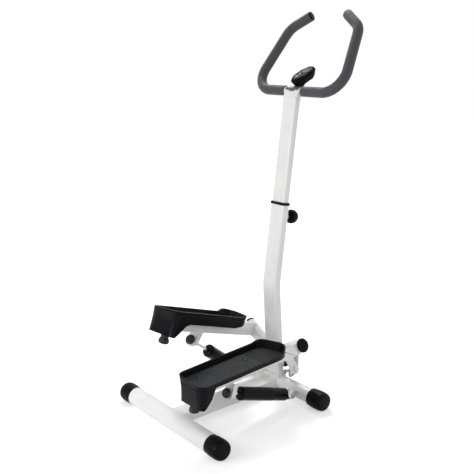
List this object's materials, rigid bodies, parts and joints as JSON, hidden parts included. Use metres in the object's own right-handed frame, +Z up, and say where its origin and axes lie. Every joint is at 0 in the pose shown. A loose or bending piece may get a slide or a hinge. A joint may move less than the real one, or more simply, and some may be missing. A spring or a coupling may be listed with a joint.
{
  "type": "twist stepper",
  "caption": "Twist stepper: two coupled footplates on tilted pivots with dampers, on a floor frame with a telescopic post, looped handlebar and small console.",
  "frame": {"origin": "centre of the bounding box, at floor level", "axes": "X to the user's right, Y forward to the post, Z up"},
  "size_m": [0.479, 0.6524, 1.1662],
  "materials": {
    "white_frame_paint": "gloss",
    "grey_rocker_paint": "satin",
    "black_moulded_plastic": "fine grain",
    "black_footplate_plastic": "satin with a ribbed tread",
    "black_rubber": "matte",
    "charcoal_foam": "matt closed-cell foam",
    "chromed_steel": "bright",
    "black_damper_paint": "gloss",
    "zinc_plated_steel": "zinc plated",
    "white_bush_nylon": "smooth",
    "clear_display_window": "clear",
    "pink_button_plastic": "gloss",
    "pale_button_plastic": "gloss"
  },
  "bodies": {
    "base": {"rear_cross_tube": "white_frame_paint", "front_cross_tube": "white_frame_paint", "spine_beam": "white_frame_paint", "rear_right_cap": "black_moulded_plastic", "rear_left_cap": "black_moulded_plastic", "front_right_cap": "black_moulded_plastic", "front_left_cap": "black_moulded_plastic", "post_saddle": "white_frame_paint", "lower_post": "white_frame_paint", "collar_bush": "black_moulded_plastic", "knob_bosses": "white_frame_paint", "hub_axles": "white_frame_paint", "axle_bolts": "zinc_plated_steel", "damper_mounts": "white_frame_paint", "damper_pins": "zinc_plated_steel", "rocker_bracket": "white_frame_paint", "rocker_bolt": "zinc_plated_steel"},
    "rocker": {"rocker_bar": "grey_rocker_paint"},
    "clamp": {"clamp_screw": "zinc_plated_steel", "clamp_knob": "black_moulded_plastic"},
    "foot_lock": {"foot_screw": "zinc_plated_steel", "foot_knob": "black_moulded_plastic"},
    "mast": {"upper_post": "white_frame_paint", "handlebar_saddle": "white_frame_paint", "handlebar_tube": "chromed_steel", "right_grip": "charcoal_foam", "left_grip": "charcoal_foam", "right_tip_plug": "black_moulded_plastic", "left_tip_plug": "black_moulded_plastic", "console_foot": "black_moulded_plastic", "console_back": "black_moulded_plastic", "console_face": "black_moulded_plastic", "console_window": "clear_display_window"},
    "main_key": {"main_button": "pink_button_plastic"},
    "small_key": {"small_button": "pale_button_plastic"},
    "right_lever": {"right_hub_sleeve": "white_frame_paint", "right_hub_bushes": "white_bush_nylon", "right_hub_cap": "black_moulded_plastic", "right_arm_tube": "white_frame_paint", "right_link_bolt": "zinc_plated_steel", "right_footplate": "black_footplate_plastic", "right_plate_screws": "zinc_plated_steel", "right_heel_bumper": "black_rubber"},
    "right_barrel": {"right_damper_barrel": "black_damper_paint", "right_damper_gland": "black_moulded_plastic"},
    "right_rod": {"right_damper_rod": "chromed_steel", "right_rod_stop": "black_rubber"},
    "left_lever": {"left_hub_sleeve": "white_frame_paint", "left_hub_bushes": "white_bush_nylon", "left_hub_cap": "black_moulded_plastic", "left_arm_tube": "white_frame_paint", "left_link_bolt": "zinc_plated_steel", "left_footplate": "black_footplate_plastic", "left_plate_screws": "zinc_plated_steel", "left_heel_bumper": "black_rubber"},
    "left_barrel": {"left_damper_barrel": "black_damper_paint", "left_damper_gland": "black_moulded_plastic"},
    "left_rod": {"left_damper_rod": "chromed_steel", "left_rod_stop": "black_rubber"}
  },
  "joints": [
    {"name": "right_lever_pivot", "type": "hinge", "parent": "base", "child": "right_lever", "pos_m": [0, 0.10447, 0.118], "axis": [-0.8829, 0, -0.4695], "range_deg": [0, 24]},
    {"name": "left_lever_pivot", "type": "hinge", "parent": "base", "child": "left_lever", "pos_m": [0, 0.10447, 0.118], "axis": [0.8829, 0, -0.4695], "range_deg": [0, 24]},
    {"name": "right_damper_pivot", "type": "hinge", "parent": "base", "child": "right_barrel", "pos_m": [0.115, 0.0598, 0.033], "axis": [-0.873, -0.1515, -0.4636], "range_deg": [0, 22.12]},
    {"name": "left_damper_pivot", "type": "hinge", "parent": "base", "child": "left_barrel", "pos_m": [-0.115, 0.0598, 0.033], "axis": [0.873, -0.1515, -0.4636], "range_deg": [0, 22.12]},
    {"name": "right_rod_slide", "type": "slide", "parent": "right_barrel", "child": "right_rod", "axis": [-0.0026, -0.9491, 0.315], "range_m": [0, 0.05568]},
    {"name": "left_rod_slide", "type": "slide", "parent": "left_barrel", "child": "left_rod", "axis": [0.1861, -0.7752, 0.6037], "range_m": [-0.05568, 0]},
    {"name": "rocker_pivot", "type": "hinge", "parent": "base", "child": "rocker", "pos_m": [0, 0.13552, 0.11], "axis": [0, 0, -1], "range_deg": [0, 27.79]},
    {"name": "mast_slide", "type": "slide", "parent": "base", "child": "mast", "axis": [0, 0.1305, 0.9914], "range_m": [-0.09, 0.04]},
    {"name": "clamp_turn", "type": "hinge", "parent": "base", "child": "clamp", "pos_m": [0, 0.11493, 0.56036], "axis": [0, 0.9914, -0.1305], "range_deg": [0, 360]},
    {"name": "foot_lock_turn", "type": "hinge", "parent": "base", "child": "foot_lock", "pos_m": [0, 0.10726, 0.078], "axis": [0, 1, 0], "range_deg": [0, 360]},
    {"name": "main_button_press", "type": "slide", "parent": "mast", "child": "main_key", "axis": [0, 0.4226, -0.9063], "range_m": [0, 0.0012], "stiffness_N_per_m": 900, "springref_m": -0.0006},
    {"name": "small_button_press", "type": "slide", "parent": "mast", "child": "small_key", "axis": [0, 0.4226, -0.9063], "range_m": [0, 0.0012], "stiffness_N_per_m": 900, "springref_m": -0.0006}
  ],
  "couplings": [
    {"joint": "left_lever_pivot", "follows": "right_lever_pivot", "ratio": 1},
    {"joint": "right_damper_pivot", "follows": "right_lever_pivot", "ratio": 0.9218},
    {"joint": "left_damper_pivot", "follows": "right_lever_pivot", "ratio": 0.9218},
    {"joint": "right_rod_slide", "follows": "right_lever_pivot", "m_per_rad": 0.13293},
    {"joint": "left_rod_slide", "follows": "right_lever_pivot", "m_per_rad": -0.13293},
    {"joint": "rocker_pivot", "follows": "right_lever_pivot", "ratio": 1.1579}
  ]
}
